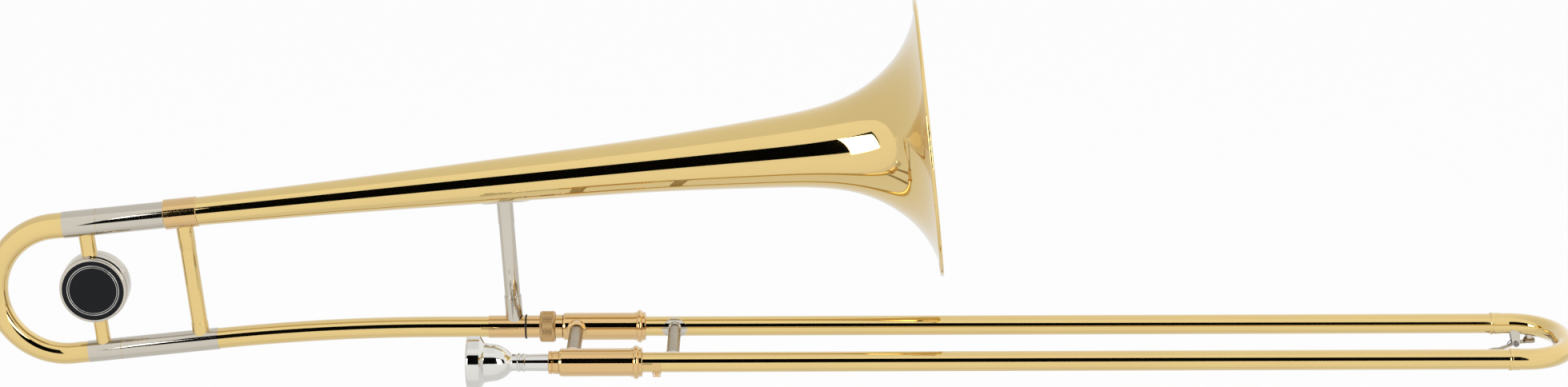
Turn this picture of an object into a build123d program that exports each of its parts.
from build123d import *
import math
import os

# Tenor trombone, in millimetres.
# Origin: the middle of the inner slide brace, halfway between the two slide legs.
# +X runs along the slide to its bow, +Y from the mouthpiece leg to the bell leg, +Z up to the bell.

# ---- hand slide: tubes -------------------------------------------------------------------
LEG_SPACING = 80.0  # between the two slide legs
BORE_R = 6.35
INNER_WALL = 0.30
STOCKING_GROWTH = 0.15  # how much thicker the last stretch of an inner tube is
STOCKING_LENGTH = 120.0
OUTER_WALL = 0.30
RUNNING_GAP = 0.08  # radial clearance of a tube that slides in another
OUTER_TUBE_END = 671.0
SLIDE_REST_GAP = 16.0  # how far the inner tubes stop short of the outer tubes' ends

# ---- hand slide: barrels -----------------------------------------------------------------
BARREL_R = 10.0
BARREL_CAVITY_R = 7.75
BARREL_START = -10.5
BARREL_END = 42.1
BARREL_BASE = 5.0  # thickness of the closed end
BARREL_ROUNDING = 2.0
FELT_LENGTH = 6.0
FELT_GAP = 0.3  # between a felt and the tube that lands on it
RING_LENGTH = 8.2
RING_R = 12.0
RING_BEAD = 2.1  # radius of the round bead
RING_STEP_R = 10.4
TUBE_MOUTH_INSET = 3.5  # how far an outer tube reaches into its barrel at rest

# ---- slide lock --------------------------------------------------------------------------
LOCK_NECK_R = 9.0  # the lower barrel's neck that the ring turns on
LOCK_NECK_LENGTH = 5.8
LOCK_FIT = 0.06
LOCK_SIDE_GAP = 0.15
LOCK_PLATE_IN = 7.75
LOCK_PLATE_WALL = 1.35
LOCK_ARM_LENGTH = 7.0
LOCK_ARM_ANGLE = 20.0
LOCK_TAB_LENGTH = 6.2
LOCK_TAB_TOP = -16.0
LOCK_TAB_BOTTOM = 58.0
LOCK_SLOT_TOP = 36.0
LOCK_SLOT_WIDTH = 3.6
STUD_ANGLE = 75.0
STUD_NECK_R = 1.5
STUD_HEAD_R = 3.0
STUD_HEAD_GAP = 0.3
STUD_HEAD_THICK = 1.0

# ---- hand slide: braces ------------------------------------------------------------------
INNER_BRACE_R = 5.15
INNER_SOCKET_R = 7.5
INNER_SOCKET_LENGTH = 3.2
OUTER_BRACE_X = 71.5
OUTER_BRACE_R = 4.6
SADDLE_R = 9.0
SADDLE_THICK = 0.7
SADDLE_COLLAR_R = 5.4
SADDLE_COLLAR_LENGTH = 2.4
BRACE_WALL = 0.8

# ---- slide bow ---------------------------------------------------------------------------
BOW_R = 7.5
BOW_WALL = 0.5
BOW_BEND_R = 33.0
BOW_LEG = 9.0  # straight part of the bow, from the outer tube to the bend
FERRULE_LENGTH = 7.5
FERRULE_LAP = 4.0  # how much of the outer tube it covers
FERRULE_R = 7.75
FERRULE_BEAD_R = 8.1
FERRULE_BEAD_WIDTH = 2.2
BUMPER_BOSS_R = 4.0
BUMPER_BOSS_LENGTH = 4.0
BUMPER_R = 5.0
BUMPER_LENGTH = 7.0

# ---- water key ---------------------------------------------------------------------------
KEY_Y = 37.5
NIPPLE_INTO_BEND = 16.0  # from the start of the bend
NIPPLE_R = 3.0
NIPPLE_BORE_R = 1.6
NIPPLE_BOTTOM = -10.2
CORK_GAP = 0.05
CORK_R = 3.7
CORK_THICK = 2.2
CUP_R = 4.4
CUP_WALL = 0.6
KEY_ARM_LENGTH = 10.0  # nipple to hinge
KEY_HINGE_Z = -13.4
KEY_BARREL_R = 2.1
KEY_SCREW_R = 1.0
KEY_SCREW_FIT = 0.06
KEY_SCREW_HEAD_R = 2.0
KEY_CHEEK_GAP = 0.3
KEY_CHEEK_THICK = 1.2
KEY_CHEEK_R = 2.6
KEY_CHEEK_FOOT = 2.4  # how far a cheek spreads where it meets the bow
KEY_CHEEK_TOP = -3.0
KEY_TAIL_LENGTH = 20.0
KEY_TAIL_TIP_Z = -20.5
KEY_TAIL_THICK = 1.4
KEY_TAIL_WIDTH = 3.4
KEY_TOUCH_R = 4.0
SPRING_WIRE_R = 0.35
SPRING_TURNS = 2  # on each side of the tail
SPRING_PITCH = 0.77
SPRING_GAP = 0.03  # between the coil and the tail's side

# ---- bell lock ---------------------------------------------------------------------------
TENON_R = 7.6
TENON_START = -50.0
TENON_FIT = 0.05
TENON_SHOULDER_R = 8.3
TENON_SHOULDER_START = -20.5
TENON_SHOULDER_WIDTH = 2.0
TENON_COLLAR_R = 8.65
TENON_COLLAR_LENGTH = 5.0
NUT_START = -27.1
NUT_R = 11.25
NUT_CHAMFER = 1.0
NUT_LIP = 2.3
NUT_GAP = 0.25
RECEIVER_START = -64.4
RECEIVER_R = 8.25
RECEIVER_SHOULDER_GAP = 0.3
RUBBER_RING_X = -37.2
RUBBER_RING_WIDTH = 1.3
RUBBER_RING_R = 8.9
RUBBER_GROOVE = 0.25

# ---- mouthpiece and its receiver ---------------------------------------------------------
LOWER_BARREL_START = -9.1
MOUTH_RECEIVER_START = -16.5
MOUTH_RECEIVER_R = 8.25
RECEIVER_LIP = 2.4
RECEIVER_GROOVE = 0.9
RECEIVER_GROOVE_DEPTH = 0.4
LEADPIPE_COLLAR_R = 6.9
LEADPIPE_THROAT_R = 5.2
LEADPIPE_LENGTH = 190.0
LEADPIPE_END_WALL = 0.2
SHANK_R = 6.2  # at the receiver's mouth
SHANK_TAPER = 0.025  # radius lost per millimetre
SHANK_DEPTH = 24.0
SHANK_FIT = 0.05
MOUTHPIECE_REACH = 58.1  # rim face to receiver
RIM_R = 19.0
RIM_DEPTH = 9.6
NECK_R = 5.95
NECK_BEAD_R = 6.6
NECK_BEAD_WIDTH = 2.4
NECK_BEAD_GAP = 0.9
NECK_BEAD_START = 35.9  # from the rim's face
CUP_MOUTH_R = 12.75
CUP_DEPTH = 22.0
THROAT_R = 3.2
THROAT_LENGTH = 8.0
BACKBORE_END_R = 4.9
# outside of the cup: distance from the rim's face, radius
CUP_OUTSIDE = (
    (12.5, 14.3),
    (16.5, 13.5),
    (21.0, 12.9),
    (24.7, 11.6),
    (29.0, 8.8),
    (32.4, NECK_R),
)

# ---- bell section ------------------------------------------------------------------------
BELL_TILT = 5.88  # degrees the bell climbs towards its mouth
CORNER_X = -182.0  # where the straight lower leg's axis meets the slide's axis
BELL_HEIGHT = 97.9  # bell axis above the lower leg's axis
BELL_START = -89.8
BELL_MOUTH = 451.3
RIM_RADIUS = 101.5
STEM_R = 10.2
BELL_WALL = 0.5
RIM_ROLL_R = 1.4
RIM_WIRE_R = 0.95
# each point: share of the bell's length from its stem, share of the growth from stem to rim
FLARE = (
    (0.17, 0.020),
    (0.44, 0.068),
    (0.65, 0.114),
    (0.777, 0.166),
    (0.850, 0.212),
    (0.905, 0.302),
    (0.942, 0.432),
    (0.970, 0.595),
    (0.990, 0.808),
)

# ---- tuning slide ------------------------------------------------------------------------
UPPER_SLEEVE_R = 9.75
UPPER_SLEEVE_WALL = 0.5
LOWER_SLEEVE_R = 7.95
LOWER_SLEEVE_WALL = 0.45
LEG_WALL = 0.4
UPPER_JOINT = -155.4  # where the crook ferrule meets the sleeve
UPPER_FERRULE_END = -180.0
LOWER_JOINT = -152.1
LOWER_FERRULE_END = -176.4
LOWER_SLEEVE_END = -80.6
SLEEVE_GAP = 0.3
BELL_FERRULE_START = -105.9
BELL_FERRULE_END = -81.8
BELL_FERRULE_R = 11.05
UPPER_LEG_TIP = -92.0
LOWER_LEG_TIP = -88.0
CROOK_BEND_U = -188.0
CROOK_UPPER_R = 9.4
CROOK_LOWER_R = 7.75
CROOK_WALL = 0.55
GOOSENECK_R = 7.6
GOOSENECK_WALL = 0.5
GOOSENECK_TANGENT = 80.0
GOOSENECK_SPIGOT = 4.0

# ---- braces of the bell section ----------------------------------------------------------
REAR_BRACE_U = -93.0
REAR_BRACE_R = 5.85
REAR_SOCKET_R = 6.2
REAR_SOCKET_LENGTH = 6.0
MAIN_BRACE_U = 141.0
MAIN_BRACE_X = -45.2
MAIN_BRACE_R = 5.6
MAIN_SOCKET_R = 5.85
MAIN_SOCKET_LENGTH = 18.0
MAIN_LOWER_SOCKET_R = 6.2
MAIN_LOWER_SOCKET_LENGTH = 16.0
BELL_SADDLE_LENGTH = 36.0
BELL_SADDLE_WIDTH = 15.0
BELL_SADDLE_THICK = 0.7

# ---- balance weight ----------------------------------------------------------------------
WEIGHT_U = -164.8
WEIGHT_R = 25.0
WEIGHT_THICK = 20.0
WEIGHT_BEZEL_DEPTH = 4.0
WEIGHT_BEZEL_R = 24.3
EMBLEM_R = 22.5
EMBLEM_THICK = 1.5
EMBLEM_RECESS = 0.4
WEIGHT_EDGE = 1.6
UPPER_POST_R = 5.85
LOWER_POST_R = 5.3

# ---- worked out from the sizes above -----------------------------------------------------
INNER_R = BORE_R + INNER_WALL
STOCKING_R = INNER_R + STOCKING_GROWTH
OUTER_BORE_R = STOCKING_R + RUNNING_GAP
OUTER_R = OUTER_BORE_R + OUTER_WALL
OUTER_TUBE_START = BARREL_END - TUBE_MOUTH_INSET
TENON_END = BARREL_START - TENON_COLLAR_LENGTH
INNER_TUBE_END = OUTER_TUBE_END - SLIDE_REST_GAP
BOW_BEND_START = OUTER_TUBE_END + BOW_LEG
BOW_APEX = BOW_BEND_START + BOW_BEND_R
NIPPLE_X = BOW_BEND_START + NIPPLE_INTO_BEND
KEY_HINGE_X = NIPPLE_X - KEY_ARM_LENGTH
KEY_TAIL_TIP_X = KEY_HINGE_X - KEY_TAIL_LENGTH
SPRING_ROOM = SPRING_WIRE_R * 2 + SPRING_PITCH * (SPRING_TURNS - 1) + SPRING_GAP
KEY_BARREL_LENGTH = KEY_TAIL_WIDTH + SPRING_ROOM * 2
BELL_LENGTH = BELL_MOUTH - BELL_START
RECEIVER_BORE_R = TENON_R + TENON_FIT
UPPER_LEG_R = UPPER_SLEEVE_R - UPPER_SLEEVE_WALL - RUNNING_GAP
LOWER_LEG_R = LOWER_SLEEVE_R - LOWER_SLEEVE_WALL - RUNNING_GAP

UPPER = Pos(0, LEG_SPACING / 2, 0)
LOWER = Pos(0, -LEG_SPACING / 2, 0)
BELL_FRAME = Pos(CORNER_X, LEG_SPACING / 2, 0) * Rot(0, -BELL_TILT, 0)
BELL_AXIS = BELL_FRAME * Pos(0, 0, BELL_HEIGHT)
TOWARDS_NEAR_LEG = Rot(90, 0, 0)  # turns a shape's own +Z to -Y
TOWARDS_FAR_LEG = Rot(-90, 0, 0)

parts = {}


# ---- small tools -------------------------------------------------------------------------
def turned(*outline):
    """A solid of revolution about X from (x, radius) corners."""
    corners = [(x, 0, r) for x, r in outline]
    return revolve(make_face(Polyline(*corners, close=True)), Axis.X)


def tube(start, end, outer, inner):
    return turned((start, inner), (start, outer), (end, outer), (end, inner))


def rod_x(start, end, radius):
    return turned((start, 0), (start, radius), (end, radius), (end, 0))


def upright(bottom, top, radius):
    """A cylinder along Z between two heights."""
    return Pos(0, 0, (bottom + top) / 2) * Cylinder(radius, top - bottom)


def upright_tube(bottom, top, outer, inner):
    return upright(bottom, top, outer) - upright(bottom - 1, top + 1, inner)


# ---- hand slide, fixed half --------------------------------------------------------------
def inner_tube(start):
    step = INNER_TUBE_END - STOCKING_LENGTH
    return turned(
        (start, BORE_R),
        (start, INNER_R),
        (step - 1, INNER_R),
        (step, STOCKING_R),
        (INNER_TUBE_END, STOCKING_R),
        (INNER_TUBE_END, BORE_R),
    )


def cork_barrel(start, end, neck_length):
    """A closed-ended barrel; a neck is turned down at its open end for a ring to sit on."""
    neck_end = end + neck_length
    body = turned(
        (start, INNER_R),
        (start, BARREL_R - BARREL_ROUNDING),
        (start + BARREL_ROUNDING * 0.3, BARREL_R - BARREL_ROUNDING * 0.3),
        (start + BARREL_ROUNDING, BARREL_R),
        (end, BARREL_R),
        (end, LOCK_NECK_R),
        (neck_end, LOCK_NECK_R),
        (neck_end, BARREL_CAVITY_R),
        (start + BARREL_BASE, BARREL_CAVITY_R),
        (start + BARREL_BASE, INNER_R),
    )
    return body


def barrel_ring(start, bore):
    """The turned end ring: a low step with a tall round bead on it."""
    end = start + RING_LENGTH
    neck_room = start + LOCK_NECK_LENGTH + LOCK_SIDE_GAP * 2
    step = turned(
        (start, bore),
        (start, RING_STEP_R),
        (end - 0.6, RING_STEP_R),
        (end, RING_STEP_R - 0.6),
        (end, BARREL_CAVITY_R),
        (neck_room, BARREL_CAVITY_R),
        (neck_room, bore),
    )
    middle = Pos(start + RING_LENGTH * 0.45, 0, 0) * Rot(0, 90, 0)
    bead = middle * Torus(RING_R - RING_BEAD, RING_BEAD)
    return step + (bead - rod_x(start, end, RING_STEP_R - 0.5))


def felt():
    end = OUTER_TUBE_START - FELT_GAP
    return tube(end - FELT_LENGTH, end, BARREL_CAVITY_R, INNER_R)


def bell_tenon():
    collar_start = TENON_END
    shoulder_end = TENON_SHOULDER_START + TENON_SHOULDER_WIDTH
    return turned(
        (TENON_START, BORE_R),
        (TENON_START, TENON_R - 0.5),
        (TENON_START + 1, TENON_R),
        (TENON_SHOULDER_START, TENON_R),
        (TENON_SHOULDER_START, TENON_SHOULDER_R),
        (shoulder_end, TENON_SHOULDER_R),
        (shoulder_end, TENON_R),
        (collar_start, TENON_R),
        (collar_start, TENON_COLLAR_R),
        (BARREL_START, TENON_COLLAR_R),
        (BARREL_START, BORE_R),
    )


def shank_radius(x):
    return SHANK_R - SHANK_TAPER * (x - MOUTH_RECEIVER_START)


def leadpipe():
    """Lead pipe: takes the shank's taper, narrows to its throat and opens to the bore."""
    shank_end = MOUTH_RECEIVER_START + SHANK_DEPTH
    seat_end = shank_end + 1
    end = MOUTH_RECEIVER_START + LEADPIPE_LENGTH
    return turned(
        (MOUTH_RECEIVER_START, shank_radius(MOUTH_RECEIVER_START) + SHANK_FIT),
        (MOUTH_RECEIVER_START, LEADPIPE_COLLAR_R),
        (LOWER_BARREL_START, LEADPIPE_COLLAR_R),
        (LOWER_BARREL_START, BORE_R),
        (end, BORE_R),
        (end, BORE_R - LEADPIPE_END_WALL),
        (seat_end + 30, LEADPIPE_THROAT_R),
        (seat_end, LEADPIPE_THROAT_R),
        (seat_end, shank_radius(seat_end) + SHANK_FIT),
    )


def mouthpiece_receiver():
    """A collar on the lead pipe's mouth, with a lip and a groove behind it."""
    lip_end = MOUTH_RECEIVER_START + RECEIVER_LIP
    return turned(
        (MOUTH_RECEIVER_START, LEADPIPE_COLLAR_R),
        (MOUTH_RECEIVER_START, MOUTH_RECEIVER_R - 0.5),
        (MOUTH_RECEIVER_START + 0.5, MOUTH_RECEIVER_R),
        (lip_end, MOUTH_RECEIVER_R),
        (lip_end + 0.3, MOUTH_RECEIVER_R - RECEIVER_GROOVE_DEPTH),
        (lip_end + RECEIVER_GROOVE, MOUTH_RECEIVER_R - RECEIVER_GROOVE_DEPTH),
        (lip_end + RECEIVER_GROOVE + 0.3, MOUTH_RECEIVER_R),
        (LOWER_BARREL_START, MOUTH_RECEIVER_R),
        (LOWER_BARREL_START, LEADPIPE_COLLAR_R),
    )


def inner_brace_socket():
    """The cup that takes the brace tube, coped to the barrel. Built pointing up Z."""
    top = LEG_SPACING / 2
    foot = top - BARREL_R
    cup = upright(foot - INNER_SOCKET_LENGTH, top, INNER_SOCKET_R)
    rim = cup.edges().group_by(Axis.Z)[0]
    cup = chamfer(rim, INNER_SOCKET_R - INNER_BRACE_R - BRACE_WALL)
    cup -= upright(foot - INNER_SOCKET_LENGTH - 1, top, INNER_BRACE_R)
    return cup - Pos(0, 0, top) * rod_x(-BARREL_R * 2, BARREL_R * 2, BARREL_R)


def inner_brace_tube():
    half = LEG_SPACING / 2 - BARREL_R + 0.5
    bar = upright_tube(-half, half, INNER_BRACE_R, INNER_BRACE_R - BRACE_WALL)
    for side in (1, -1):
        bar -= Pos(0, 0, side * LEG_SPACING / 2) * rod_x(-BARREL_R * 2, BARREL_R * 2, BARREL_R)
    return bar


# ---- slide lock --------------------------------------------------------------------------
def ring_sector(start, end, inner, outer, top, bottom):
    """A slice of a ring about X. Angles run from the front (-Y) down towards -Z."""
    middle = math.radians((top + bottom) / 2)
    half = math.radians((bottom - top) / 2)
    reach = outer * 2
    wedge = Polyline(
        (start, 0, 0),
        (start, -reach * math.cos(middle - half), -reach * math.sin(middle - half)),
        (start, -reach * math.cos(middle + half), -reach * math.sin(middle + half)),
        close=True,
    )
    block = extrude(make_face(wedge), end - start, dir=(1, 0, 0))
    return tube(start, end, outer, inner) & block


def slide_lock():
    """Ring on the barrel's neck, an arm along the tube, and a tab forked to take the stud."""
    ring_start = BARREL_END + LOCK_SIDE_GAP
    ring = barrel_ring(ring_start, LOCK_NECK_R + LOCK_FIT)
    outer = LOCK_PLATE_IN + LOCK_PLATE_WALL
    arm_start = ring_start + RING_LENGTH - 1.5
    tab_start = arm_start + 1.5 + LOCK_ARM_LENGTH
    tab_end = tab_start + LOCK_TAB_LENGTH
    half = LOCK_ARM_ANGLE / 2
    arm = ring_sector(arm_start, tab_start + 1, LOCK_PLATE_IN, outer, -half, half)
    tab = ring_sector(tab_start, tab_end, LOCK_PLATE_IN, outer, LOCK_TAB_TOP, LOCK_TAB_BOTTOM)
    slot_middle = (tab_start + tab_end) / 2
    slot = ring_sector(
        slot_middle - LOCK_SLOT_WIDTH / 2,
        slot_middle + LOCK_SLOT_WIDTH / 2,
        LOCK_PLATE_IN - 1,
        outer + 1,
        LOCK_SLOT_TOP,
        LOCK_TAB_BOTTOM + 5,
    )
    return ring + arm + (tab - slot)


def lock_stud():
    """A headed stud on the outer tube, under which the lock's fork slides."""
    x = BARREL_END + LOCK_SIDE_GAP + RING_LENGTH + LOCK_ARM_LENGTH + LOCK_TAB_LENGTH / 2
    head = LOCK_PLATE_IN + LOCK_PLATE_WALL + STUD_HEAD_GAP
    stud = upright(OUTER_BORE_R, head + 0.2, STUD_NECK_R)
    cap = upright(head, head + STUD_HEAD_THICK, STUD_HEAD_R)
    cap = fillet(cap.edges().group_by(Axis.Z)[-1], STUD_HEAD_THICK * 0.6)
    stud = stud + cap - rod_x(-SADDLE_R, SADDLE_R, OUTER_R)
    return Pos(x, 0, 0) * Rot(90 + STUD_ANGLE, 0, 0) * stud


# ---- hand slide, moving half -------------------------------------------------------------
def outer_tube():
    return tube(OUTER_TUBE_START, OUTER_TUBE_END, OUTER_R, OUTER_BORE_R)


def outer_brace_saddle():
    """A round plate wrapped on the tube, with a collar for the brace. Built pointing up Z."""
    axis_height = LEG_SPACING / 2
    reach = OUTER_R + SADDLE_THICK
    wrapped_half = reach * math.sin(SADDLE_R / reach)
    disc = Pos(0, 0, axis_height - reach - 1) * Ellipse(SADDLE_R, wrapped_half)
    plate = Pos(0, 0, axis_height) * rod_x(-SADDLE_R, SADDLE_R, reach)
    plate &= extrude(disc, reach + 1)
    foot = axis_height - reach
    collar = upright(foot - SADDLE_COLLAR_LENGTH, axis_height, SADDLE_COLLAR_R)
    collar = fillet(collar.edges().group_by(Axis.Z)[0], 0.5)
    saddle = plate + collar
    saddle -= upright(foot - SADDLE_COLLAR_LENGTH - 1, axis_height, OUTER_BRACE_R)
    return saddle - Pos(0, 0, axis_height) * rod_x(-SADDLE_R * 2, SADDLE_R * 2, OUTER_R)


def outer_brace_tube():
    half = LEG_SPACING / 2 - OUTER_R + 0.5
    bar = upright_tube(-half, half, OUTER_BRACE_R, OUTER_BRACE_R - BRACE_WALL)
    for side in (1, -1):
        bar -= Pos(0, 0, side * LEG_SPACING / 2) * rod_x(-SADDLE_R, SADDLE_R, OUTER_R)
    return bar


def bow_ferrule():
    """Sleeve over the joint of tube and bow, with a bead at the tube's side."""
    start = OUTER_TUBE_END - FERRULE_LAP
    end = start + FERRULE_LENGTH
    return turned(
        (start, OUTER_R),
        (start, FERRULE_R),
        (start + FERRULE_BEAD_WIDTH / 4, FERRULE_BEAD_R),
        (start + FERRULE_BEAD_WIDTH * 3 / 4, FERRULE_BEAD_R),
        (start + FERRULE_BEAD_WIDTH, FERRULE_R),
        (end, FERRULE_R),
        (end, BOW_R),
        (OUTER_TUBE_END, BOW_R),
        (OUTER_TUBE_END, OUTER_R),
    )


def bow_path():
    """Centreline of the bow: two tight corners joined by a short straight."""
    leg = LEG_SPACING / 2
    corner = leg - BOW_BEND_R
    start = OUTER_TUBE_END
    into = Line((start, leg, 0), (BOW_BEND_START, leg, 0))
    first = CenterArc((BOW_BEND_START, corner, 0), BOW_BEND_R, 90, -90)
    across = Line((BOW_APEX, corner, 0), (BOW_APEX, -corner, 0))
    second = CenterArc((BOW_BEND_START, -corner, 0), BOW_BEND_R, 0, -90)
    back = Line((BOW_BEND_START, -leg, 0), (start, -leg, 0))
    return Wire([into.edge(), first.edge(), across.edge(), second.edge(), back.edge()])


def swept_round(path, radius):
    section = Plane(origin=path @ 0, z_dir=path % 0) * Circle(radius)
    return sweep(section, path=path)


def slide_bow():
    path = bow_path()
    bow = swept_round(path, BOW_R) - swept_round(path, BOW_R - BOW_WALL)
    return bow - Pos(NIPPLE_X, KEY_Y, 0) * upright(NIPPLE_BOTTOM, 0, NIPPLE_BORE_R)


def bow_rod():
    return swept_round(bow_path(), BOW_R)


def bumper_boss():
    start = BOW_APEX
    boss = rod_x(start, BOW_APEX + BOW_R + BUMPER_BOSS_LENGTH, BUMPER_BOSS_R)
    boss = chamfer(boss.edges().group_by(Axis.X)[-1], 0.6)
    return boss - bow_rod()


def bumper():
    start = BOW_APEX + BOW_R + BUMPER_BOSS_LENGTH
    tip = rod_x(start, start + BUMPER_LENGTH, BUMPER_R)
    tip = fillet(tip.edges().group_by(Axis.X)[-1], BUMPER_R * 0.4)
    return chamfer(tip.edges().group_by(Axis.X)[0], 0.5)


# ---- water key ---------------------------------------------------------------------------
def water_key_nipple():
    shell = Pos(NIPPLE_X, KEY_Y, 0) * upright_tube(NIPPLE_BOTTOM, 0, NIPPLE_R, NIPPLE_BORE_R)
    return shell - bow_rod()


def key_cheek(y):
    """One ear of the saddle that carries the hinge screw, wider where it meets the bow."""
    top = KEY_CHEEK_TOP - KEY_HINGE_Z
    eye = TOWARDS_NEAR_LEG * Cylinder(KEY_CHEEK_R, KEY_CHEEK_THICK)
    outline = Polyline(
        (-KEY_CHEEK_R, 0, 0),
        (KEY_CHEEK_R, 0, 0),
        (KEY_CHEEK_R, 0, top),
        (-KEY_CHEEK_R - KEY_CHEEK_FOOT, 0, top),
        close=True,
    )
    web = extrude(make_face(outline), KEY_CHEEK_THICK / 2, dir=(0, 1, 0), both=True)
    hole = TOWARDS_NEAR_LEG * Cylinder(KEY_SCREW_R, KEY_CHEEK_THICK * 2)
    return Pos(KEY_HINGE_X, y, KEY_HINGE_Z) * (eye + web - hole)


def cheek_offset():
    return KEY_BARREL_LENGTH / 2 + KEY_CHEEK_GAP + KEY_CHEEK_THICK / 2


def water_key_saddle():
    cheeks = key_cheek(KEY_Y - cheek_offset()) + key_cheek(KEY_Y + cheek_offset())
    return cheeks - bow_rod()


def water_key_screw():
    reach = cheek_offset() + KEY_CHEEK_THICK / 2
    shaft = Cylinder(KEY_SCREW_R, reach * 2)
    head = Pos(0, 0, reach + 0.5) * Cylinder(KEY_SCREW_HEAD_R, 1.0)
    slot = Pos(0, 0, reach + 1) * Box(KEY_SCREW_HEAD_R * 2, 0.5, 0.8)
    return Pos(KEY_HINGE_X, KEY_Y, KEY_HINGE_Z) * TOWARDS_NEAR_LEG * (shaft + head - slot)


def cork_top():
    return NIPPLE_BOTTOM - CORK_GAP


def water_key_cork():
    top = cork_top()
    return Pos(NIPPLE_X, KEY_Y, 0) * upright(top - CORK_THICK, top, CORK_R)


def water_key_lever():
    """Cup, arm, hinge barrel and curved finger tail in one casting."""
    top = cork_top()
    floor = top - CORK_THICK
    cup = upright(floor - CUP_WALL, top - CORK_THICK * 0.4, CUP_R)
    cup -= upright(floor, top + 1, CORK_R)
    cup = Pos(NIPPLE_X, KEY_Y, 0) * cup
    barrel = TOWARDS_NEAR_LEG * Cylinder(KEY_BARREL_R, KEY_BARREL_LENGTH)
    barrel = Pos(KEY_HINGE_X, KEY_Y, KEY_HINGE_Z) * barrel
    arm = side_plate(
        [
            (NIPPLE_X, floor - CUP_WALL * 0.2),
            (KEY_HINGE_X, KEY_HINGE_Z + KEY_BARREL_R * 0.6),
            (KEY_HINGE_X, KEY_HINGE_Z - KEY_BARREL_R * 0.6),
            (NIPPLE_X, floor - CUP_WALL * 2.5),
        ],
        KEY_TAIL_WIDTH * 0.8,
    )
    pad = Pos(NIPPLE_X, KEY_Y, 0) * upright(floor, top + 1, CORK_R)
    lever = cup + barrel + (arm - pad) + key_tail()
    hole = TOWARDS_NEAR_LEG * Cylinder(KEY_SCREW_R + KEY_SCREW_FIT, KEY_BARREL_LENGTH * 2)
    return lever - Pos(KEY_HINGE_X, KEY_Y, KEY_HINGE_Z) * hole


def side_plate(corners, width):
    """A flat plate of (x, z) corners, centred on the key's plane."""
    outline = Polyline(*[(x, KEY_Y, z) for x, z in corners], close=True)
    return extrude(make_face(outline), width / 2, dir=(0, 1, 0), both=True)


def key_tail():
    """The tail leaves the hinge and curves away from the tube to its round touch piece."""
    start_x = KEY_HINGE_X
    start_z = KEY_HINGE_Z
    mid_x = (start_x + KEY_TAIL_TIP_X) / 2
    mid_z = start_z + (KEY_TAIL_TIP_Z - start_z) * 0.62
    top = ThreePointArc(
        (start_x, KEY_Y, start_z), (mid_x, KEY_Y, mid_z), (KEY_TAIL_TIP_X, KEY_Y, KEY_TAIL_TIP_Z)
    )
    low = ThreePointArc(
        (start_x, KEY_Y, start_z - KEY_TAIL_THICK),
        (mid_x, KEY_Y, mid_z - KEY_TAIL_THICK),
        (KEY_TAIL_TIP_X, KEY_Y, KEY_TAIL_TIP_Z - KEY_TAIL_THICK),
    )
    ends = [Line(top @ 0, low @ 0), Line(top @ 1, low @ 1)]
    side = make_face([top, low] + ends)
    blade = extrude(side, KEY_TOUCH_R, dir=(0, 1, 0), both=True)
    touch_x = KEY_TAIL_TIP_X + KEY_TOUCH_R
    height = -KEY_TAIL_TIP_Z * 2
    plan = Pos(touch_x, KEY_Y, -height / 2) * Cylinder(KEY_TOUCH_R, height)
    length = start_x - touch_x
    plan += Pos(touch_x + length / 2, KEY_Y, -height / 2) * Box(length, KEY_TAIL_WIDTH, height)
    return blade & plan


def water_key_spring():
    """Torsion coil on the hinge barrel, drawn as closed turns."""
    ring_r = KEY_BARREL_R + SPRING_WIRE_R
    coil = []
    for side in (1, -1):
        for turn in range(SPRING_TURNS):
            offset = side * (KEY_BARREL_LENGTH / 2 - SPRING_WIRE_R - turn * SPRING_PITCH)
            ring = TOWARDS_NEAR_LEG * Torus(ring_r, SPRING_WIRE_R)
            coil.append(Pos(KEY_HINGE_X, KEY_Y + offset, KEY_HINGE_Z) * ring)
    return Compound(coil)


# ---- bell lock ---------------------------------------------------------------------------
def lock_nut():
    end = TENON_END - NUT_GAP
    lip = end - NUT_LIP
    bore = RECEIVER_R + RUNNING_GAP
    nut = turned(
        (NUT_START, bore),
        (NUT_START, NUT_R - NUT_CHAMFER),
        (NUT_START + NUT_CHAMFER, NUT_R),
        (end - NUT_CHAMFER, NUT_R),
        (end, NUT_R - NUT_CHAMFER),
        (end, TENON_R + RUNNING_GAP),
        (lip, TENON_R + RUNNING_GAP),
        (lip, bore + 0.3),
        (TENON_SHOULDER_START - 1, bore + 0.3),
        (TENON_SHOULDER_START - 1, bore),
    )
    return nut


def bell_receiver():
    end = TENON_SHOULDER_START - RECEIVER_SHOULDER_GAP
    joint = TENON_START - 2
    ring_start = RUBBER_RING_X - RUBBER_RING_WIDTH / 2
    ring_end = RUBBER_RING_X + RUBBER_RING_WIDTH / 2
    return turned(
        (RECEIVER_START, GOOSENECK_R),
        (RECEIVER_START, RECEIVER_R),
        (ring_start, RECEIVER_R),
        (ring_start, RECEIVER_R - RUBBER_GROOVE),
        (ring_end, RECEIVER_R - RUBBER_GROOVE),
        (ring_end, RECEIVER_R),
        (end - 0.4, RECEIVER_R),
        (end, RECEIVER_R - 0.3),
        (end, RECEIVER_BORE_R),
        (joint, RECEIVER_BORE_R),
        (joint, GOOSENECK_R),
    )


def rubber_ring():
    half = RUBBER_RING_WIDTH / 2
    ring = tube(RUBBER_RING_X - half, RUBBER_RING_X + half, RUBBER_RING_R, RECEIVER_R - RUBBER_GROOVE)
    outer_edges = ring.edges().sort_by(lambda e: e.length)[-2:]
    return fillet(outer_edges, half * 0.7)


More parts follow.
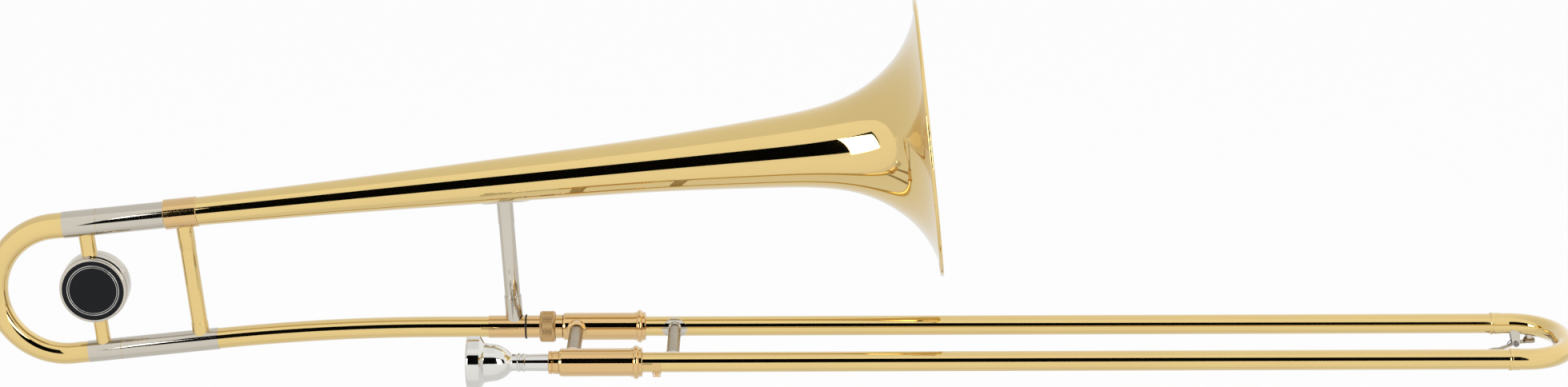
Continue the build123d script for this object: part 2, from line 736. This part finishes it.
# ---- mouthpiece --------------------------------------------------------------------------
def mouthpiece():
    """Rim, cup, throat and backbore turned from one bar."""
    face = MOUTH_RECEIVER_START - MOUTHPIECE_REACH
    tip = MOUTH_RECEIVER_START + SHANK_DEPTH
    throat = face + CUP_DEPTH
    rim_end = face + RIM_DEPTH
    body = [(face + along, 0, radius) for along, radius in CUP_OUTSIDE]
    outer = [
        Spline(
            (face + 1.6, 0, CUP_MOUTH_R),
            (face, 0, (CUP_MOUTH_R + RIM_R) / 2),
            (face + 2.0, 0, RIM_R),
            tangents=((-1, 0, 0.6), (1, 0, 0.1)),
        ),
        Line((face + 2.0, 0, RIM_R), (rim_end, 0, RIM_R)),
        Line((rim_end, 0, RIM_R), body[0]),
        Spline(*body, tangents=((1, 0, -0.35), (1, 0, -0.3))),
    ]
    neck = [(body[-1][0], NECK_R)]
    bead = face + NECK_BEAD_START
    for _ in range(2):
        neck.append((bead, NECK_R))
        neck.append((bead + NECK_BEAD_WIDTH * 0.25, NECK_BEAD_R))
        neck.append((bead + NECK_BEAD_WIDTH * 0.75, NECK_BEAD_R))
        neck.append((bead + NECK_BEAD_WIDTH, NECK_R))
        bead += NECK_BEAD_WIDTH + NECK_BEAD_GAP
    neck += [
        (MOUTH_RECEIVER_START, SHANK_R),
        (tip, shank_radius(tip)),
        (tip, BACKBORE_END_R),
        (throat + THROAT_LENGTH, THROAT_R),
        (throat, THROAT_R),
    ]
    turned_edges = Polyline(*[(x, 0, r) for x, r in neck])
    cup = Spline(
        (throat, 0, THROAT_R),
        (face + CUP_DEPTH * 0.80, 0, CUP_MOUTH_R * 0.60),
        (face + CUP_DEPTH * 0.42, 0, CUP_MOUTH_R * 0.92),
        (face + 1.6, 0, CUP_MOUTH_R),
    )
    section = make_face(outer + [turned_edges, cup])
    return revolve(section, Axis.X)


# ---- bell --------------------------------------------------------------------------------
def rim_tangent():
    return Vector(0.22, 0, 1).normalized()


def bell_outer_curve():
    """The outside of the bell as one curve from the stem to the rolled rim."""
    lean = rim_tangent()
    end_r = RIM_RADIUS - RIM_ROLL_R * (1 + lean.X)
    growth = end_r - STEM_R
    points = [(BELL_START, 0, STEM_R)]
    for along, grown in FLARE:
        points.append((BELL_START + along * BELL_LENGTH, 0, STEM_R + grown * growth))
    points.append((BELL_MOUTH - BELL_WALL, 0, end_r))
    return Spline(*points, tangents=((1, 0, 0.02), lean))


def bell_inner_curve(outer):
    """The inside, one wall in from the outside."""
    samples = [i / 14 for i in range(15)]
    points = []
    for t in samples:
        lean = outer % t
        points.append(outer @ t + Vector(lean.Z, 0, -lean.X) * BELL_WALL)
    return Spline(*points, tangents=(outer % 0, outer % 1))


def bell_body():
    """The bell filled solid, for coping what seats on it."""
    outer = bell_outer_curve()
    end = outer @ 1
    closing = Polyline(end, (end.X, 0, 0), (BELL_START, 0, 0), (BELL_START, 0, STEM_R))
    return revolve(make_face([outer, closing]), Axis.X)


def rim_centre():
    lean = rim_tangent()
    end = bell_outer_curve() @ 1
    inside = end + Vector(lean.Z, 0, -lean.X) * BELL_WALL
    return inside + Vector(-lean.Z, 0, lean.X) * RIM_ROLL_R


def rim_circle(radius):
    centre = rim_centre()
    return Plane(origin=centre, x_dir=(1, 0, 0), z_dir=(0, -1, 0)) * Circle(radius)


def bell():
    outer = bell_outer_curve()
    inner = bell_inner_curve(outer)
    ends = [Line(outer @ 0, inner @ 0), Line(outer @ 1, inner @ 1)]
    sheet = revolve(make_face([outer, inner] + ends), Axis.X)
    roll = revolve(rim_circle(RIM_ROLL_R), Axis.X)
    channel = revolve(rim_circle(RIM_WIRE_R), Axis.X)
    return sheet + roll - channel


def rim_wire():
    return revolve(rim_circle(RIM_WIRE_R), Axis.X)


def bell_ferrule():
    return turned(
        (BELL_FERRULE_START, UPPER_SLEEVE_R),
        (BELL_FERRULE_START, BELL_FERRULE_R - 0.4),
        (BELL_FERRULE_START + 0.4, BELL_FERRULE_R),
        (BELL_FERRULE_END - 0.4, BELL_FERRULE_R),
        (BELL_FERRULE_END, BELL_FERRULE_R - 0.4),
        (BELL_FERRULE_END, STEM_R + 0.3),
        (BELL_START, STEM_R + 0.3),
        (BELL_START, UPPER_SLEEVE_R),
    )


# ---- tuning slide ------------------------------------------------------------------------
def upper_outer_sleeve():
    start = UPPER_JOINT + SLEEVE_GAP
    bore = UPPER_SLEEVE_R - UPPER_SLEEVE_WALL
    return tube(start, BELL_START - 0.3, UPPER_SLEEVE_R, bore)


def lower_outer_sleeve():
    start = LOWER_JOINT + SLEEVE_GAP
    bore = LOWER_SLEEVE_R - LOWER_SLEEVE_WALL
    return tube(start, LOWER_SLEEVE_END, LOWER_SLEEVE_R, bore)


def crook_ferrule(end, joint, outer, crook_r, leg_r):
    """Nickel ferrule joining the crook to its inner leg."""
    step = (end + joint) / 2
    return turned(
        (end, crook_r),
        (end, outer),
        (joint, outer),
        (joint, leg_r),
        (step, leg_r),
        (step, crook_r),
    )


def tuning_leg(start, tip, radius):
    return tube(start, tip, radius, radius - LEG_WALL)


def crook_rod(shrink):
    """The crook filled solid: a half-turn that tapers from the upper leg to the lower."""
    bend = BELL_HEIGHT / 2
    upper_r = CROOK_UPPER_R - shrink
    lower_r = CROOK_LOWER_R - shrink
    path = CenterArc((0, 0, 0), bend, 90, 180).edge()
    path = Plane(origin=(CROOK_BEND_U, 0, bend), x_dir=(1, 0, 0), z_dir=(0, -1, 0)) * path
    first = Plane(origin=path @ 0, z_dir=path % 0) * Circle(upper_r)
    last = Plane(origin=path @ 1, z_dir=path % 1) * Circle(lower_r)
    turn = sweep([first, last], path=path, multisection=True)
    upper_end = (UPPER_FERRULE_END + UPPER_JOINT) / 2
    lower_end = (LOWER_FERRULE_END + LOWER_JOINT) / 2
    upper = Pos(0, 0, BELL_HEIGHT) * rod_x(CROOK_BEND_U, upper_end, upper_r)
    lower = rod_x(CROOK_BEND_U, lower_end, lower_r)
    return turn + upper + lower


def crook():
    return crook_rod(0) - crook_rod(CROOK_WALL)


def gooseneck_path():
    """From the tuning slide's lower sleeve, round a long gentle bend, to the bell receiver."""
    tilt = math.radians(BELL_TILT)
    start = LOWER_SLEEVE_END
    bend_start = -GOOSENECK_TANGENT
    turn_r = GOOSENECK_TANGENT / math.tan(tilt / 2)
    first = Line((start, 0, 0), (bend_start, 0, 0))
    arc = CenterArc((0, 0, 0), turn_r, 90, -BELL_TILT).edge()
    arc = Plane(origin=(bend_start, 0, -turn_r), x_dir=(1, 0, 0), z_dir=(0, -1, 0)) * arc
    run = TENON_START - 2 - CORNER_X - GOOSENECK_TANGENT
    leave = arc @ 1
    last = Line(leave, leave + Vector(math.cos(tilt), 0, -math.sin(tilt)) * run)
    return Wire([first.edge(), arc, last.edge()])


def gooseneck():
    path = gooseneck_path()
    bore = GOOSENECK_R - GOOSENECK_WALL
    neck = swept_round(path, GOOSENECK_R) - swept_round(path, bore)
    spigot_r = LOWER_SLEEVE_R - LOWER_SLEEVE_WALL
    spigot = tube(LOWER_SLEEVE_END - GOOSENECK_SPIGOT, LOWER_SLEEVE_END, spigot_r, bore)
    return neck + spigot


# ---- braces of the bell section ----------------------------------------------------------
def rear_brace_pieces():
    """Tube and two sockets between the bell ferrule and the lower sleeve."""
    at = Pos(REAR_BRACE_U, 0, 0)
    upper_leg = Pos(0, 0, BELL_HEIGHT) * rod_x(-BELL_HEIGHT * 2, 0, BELL_FERRULE_R)
    lower_leg = rod_x(-BELL_HEIGHT * 2, 0, LOWER_SLEEVE_R)
    top = BELL_HEIGHT - BELL_FERRULE_R
    bottom = LOWER_SLEEVE_R
    wall_bore = REAR_BRACE_R - BRACE_WALL
    bar = at * upright_tube(bottom - 3, top + 3, REAR_BRACE_R, wall_bore)
    upper = at * upright_tube(top - REAR_SOCKET_LENGTH, top + 3, REAR_SOCKET_R, REAR_BRACE_R)
    lower = at * upright_tube(bottom - 3, bottom + REAR_SOCKET_LENGTH, REAR_SOCKET_R, REAR_BRACE_R)
    return bar - upper_leg - lower_leg, upper - upper_leg, lower - lower_leg


def main_brace_frame():
    """Frame on the receiver's axis with its Z along the brace, and the brace's length."""
    tilt = math.radians(BELL_TILT)
    top_x = CORNER_X + MAIN_BRACE_U * math.cos(tilt) - BELL_HEIGHT * math.sin(tilt)
    top_z = MAIN_BRACE_U * math.sin(tilt) + BELL_HEIGHT * math.cos(tilt)
    foot = Vector(MAIN_BRACE_X, LEG_SPACING / 2, 0)
    head = Vector(top_x, LEG_SPACING / 2, top_z)
    rise = head - foot
    return Plane(origin=foot, x_dir=(0, 1, 0), z_dir=rise), rise.length


def main_brace_pieces():
    frame, length = main_brace_frame()
    horn = BELL_AXIS * bell_body()
    receiver = UPPER * rod_x(RECEIVER_START - 10, 0, RECEIVER_R)
    lower_end = RECEIVER_R - 3
    lower_top = RECEIVER_R + MAIN_LOWER_SOCKET_LENGTH
    upper_bottom = length - STEM_R - MAIN_SOCKET_LENGTH - 4
    bar_core = MAIN_BRACE_R - BRACE_WALL
    bar = frame * upright_tube(lower_end, length, MAIN_BRACE_R, bar_core)
    upper = frame * upright_tube(upper_bottom, length, MAIN_SOCKET_R, MAIN_BRACE_R)
    lower = frame * upright_tube(lower_end, lower_top, MAIN_LOWER_SOCKET_R, MAIN_BRACE_R)
    plate = BELL_AXIS * bell_saddle_blank()
    seat = horn + plate
    return bar - seat - receiver, upper - seat, lower - receiver, plate - horn


def bell_saddle_blank():
    """The diamond foot on the bell's underside, before it is coped to the bell."""
    half = BELL_SADDLE_LENGTH / 2
    side = BELL_SADDLE_WIDTH / 2
    front = MAIN_BRACE_U + half
    back = MAIN_BRACE_U - half
    edges = [
        ThreePointArc((back, 0, 0), (MAIN_BRACE_U, side, 0), (front, 0, 0)),
        ThreePointArc((front, 0, 0), (MAIN_BRACE_U, -side, 0), (back, 0, 0)),
    ]
    prism = extrude(make_face(edges), RIM_RADIUS / 2, dir=(0, 0, -1))
    curve = bell_outer_curve()
    skin = [curve @ (0.30 + 0.02 * i) for i in range(16)]
    lift = [(p.X, p.Z + BELL_SADDLE_THICK) for p in skin]
    blank = turned((lift[0][0], 0), *lift, (lift[-1][0], 0))
    return blank & prism


# ---- balance weight ----------------------------------------------------------------------
def facing_front(shape):
    """Place a shape built along +Z so that it faces the front, at the weight's centre."""
    return Pos(WEIGHT_U, 0, BELL_HEIGHT / 2) * TOWARDS_NEAR_LEG * shape


def weight_drum():
    half = WEIGHT_THICK / 2
    drum = upright(-half, half - WEIGHT_BEZEL_DEPTH, WEIGHT_R)
    drum = fillet(drum.edges().group_by(Axis.Z)[0], WEIGHT_EDGE)
    return facing_front(drum)


def weight_bezel():
    half = WEIGHT_THICK / 2
    back = half - WEIGHT_BEZEL_DEPTH
    ring = upright(back, half, WEIGHT_BEZEL_R)
    ring = fillet(ring.edges().group_by(Axis.Z)[-1], WEIGHT_EDGE * 0.5)
    seat = upright(half - EMBLEM_RECESS - EMBLEM_THICK, half + 1, EMBLEM_R)
    return facing_front(ring - seat)


def emblem_disc():
    top = WEIGHT_THICK / 2 - EMBLEM_RECESS
    return facing_front(upright(top - EMBLEM_THICK, top, EMBLEM_R))


def weight_posts():
    """Two posts that hold the drum between the crook's ferrules."""
    at = Pos(WEIGHT_U, 0, 0)
    drum = facing_front(upright(-WEIGHT_THICK, WEIGHT_THICK, WEIGHT_R))
    upper = at * upright(BELL_HEIGHT / 2, BELL_HEIGHT, UPPER_POST_R)
    upper -= Pos(0, 0, BELL_HEIGHT) * rod_x(-BELL_HEIGHT * 2, 0, UPPER_SLEEVE_R)
    lower = at * upright(0, BELL_HEIGHT / 2, LOWER_POST_R)
    lower -= rod_x(-BELL_HEIGHT * 2, 0, LOWER_SLEEVE_R)
    return upper - drum, lower - drum


# ---- assembly ----------------------------------------------------------------------------
def add(name, shape):
    parts[name] = shape


def build_fixed_slide():
    add("bell_tenon", UPPER * bell_tenon())
    add("upper_cork_barrel", UPPER * cork_barrel(BARREL_START, BARREL_END, LOCK_NECK_LENGTH))
    add("upper_barrel_ring", UPPER * barrel_ring(BARREL_END, LOCK_NECK_R))
    add("upper_inner_tube", UPPER * inner_tube(BARREL_START))
    add("upper_felt", UPPER * felt())
    add("lower_cork_barrel", LOWER * cork_barrel(LOWER_BARREL_START, BARREL_END, LOCK_NECK_LENGTH))
    add("lower_inner_tube", LOWER * inner_tube(LOWER_BARREL_START))
    add("lower_felt", LOWER * felt())
    add("leadpipe", LOWER * leadpipe())
    add("mouthpiece_receiver", LOWER * mouthpiece_receiver())
    add("inner_brace_tube", TOWARDS_FAR_LEG * inner_brace_tube())
    add("upper_inner_socket", TOWARDS_FAR_LEG * inner_brace_socket())
    add("lower_inner_socket", TOWARDS_NEAR_LEG * inner_brace_socket())
    add("slide_lock", LOWER * slide_lock())
    add("lock_nut", UPPER * lock_nut())


def build_moving_slide():
    brace = Pos(OUTER_BRACE_X, 0, 0)
    add("upper_outer_tube", UPPER * outer_tube())
    add("lower_outer_tube", LOWER * outer_tube())
    add("upper_brace_saddle", brace * TOWARDS_FAR_LEG * outer_brace_saddle())
    add("lower_brace_saddle", brace * TOWARDS_NEAR_LEG * outer_brace_saddle())
    add("outer_brace_tube", brace * TOWARDS_FAR_LEG * outer_brace_tube())
    add("lock_stud", LOWER * lock_stud())
    add("upper_bow_ferrule", UPPER * bow_ferrule())
    add("lower_bow_ferrule", LOWER * bow_ferrule())
    add("slide_bow", slide_bow())
    add("bumper_boss", bumper_boss())
    add("bumper", bumper())
    add("water_key_nipple", water_key_nipple())
    add("water_key_saddle", water_key_saddle())
    add("water_key_screw", water_key_screw())
    add("water_key_lever", water_key_lever())
    add("water_key_cork", water_key_cork())
    add("water_key_spring", water_key_spring())


def build_bell_section():
    add("bell", BELL_AXIS * bell())
    add("bell_rim_wire", BELL_AXIS * rim_wire())
    add("bell_ferrule", BELL_AXIS * bell_ferrule())
    add("upper_outer_sleeve", BELL_AXIS * upper_outer_sleeve())
    add("lower_outer_sleeve", BELL_FRAME * lower_outer_sleeve())
    add("gooseneck", BELL_FRAME * gooseneck())
    add("bell_receiver", UPPER * bell_receiver())
    add("receiver_rubber_ring", UPPER * rubber_ring())
    bar, upper, lower = rear_brace_pieces()
    add("rear_brace_tube", BELL_FRAME * bar)
    add("rear_upper_socket", BELL_FRAME * upper)
    add("rear_lower_socket", BELL_FRAME * lower)
    bar, upper, lower, plate = main_brace_pieces()
    add("main_brace_tube", bar)
    add("main_upper_socket", upper)
    add("main_lower_socket", lower)
    add("main_brace_saddle", plate)


def build_tuning_slide():
    upper_step = (UPPER_FERRULE_END + UPPER_JOINT) / 2
    lower_step = (LOWER_FERRULE_END + LOWER_JOINT) / 2
    upper = crook_ferrule(
        UPPER_FERRULE_END, UPPER_JOINT, UPPER_SLEEVE_R, CROOK_UPPER_R, UPPER_LEG_R
    )
    lower = crook_ferrule(
        LOWER_FERRULE_END, LOWER_JOINT, LOWER_SLEEVE_R, CROOK_LOWER_R, LOWER_LEG_R
    )
    add("crook", BELL_FRAME * crook())
    add("upper_crook_ferrule", BELL_AXIS * upper)
    add("lower_crook_ferrule", BELL_FRAME * lower)
    add("upper_tuning_leg", BELL_AXIS * tuning_leg(upper_step, UPPER_LEG_TIP, UPPER_LEG_R))
    add("lower_tuning_leg", BELL_FRAME * tuning_leg(lower_step, LOWER_LEG_TIP, LOWER_LEG_R))
    upper_post, lower_post = weight_posts()
    add("upper_weight_post", BELL_FRAME * upper_post)
    add("lower_weight_post", BELL_FRAME * lower_post)
    add("weight_drum", BELL_FRAME * weight_drum())
    add("weight_bezel", BELL_FRAME * weight_bezel())
    add("emblem_disc", BELL_FRAME * emblem_disc())


build_fixed_slide()
build_moving_slide()
build_bell_section()
build_tuning_slide()
add("mouthpiece", LOWER * mouthpiece())

os.makedirs("parts", exist_ok=True)
for name, shape in parts.items():
    export_step(shape, "parts/" + name + ".step")
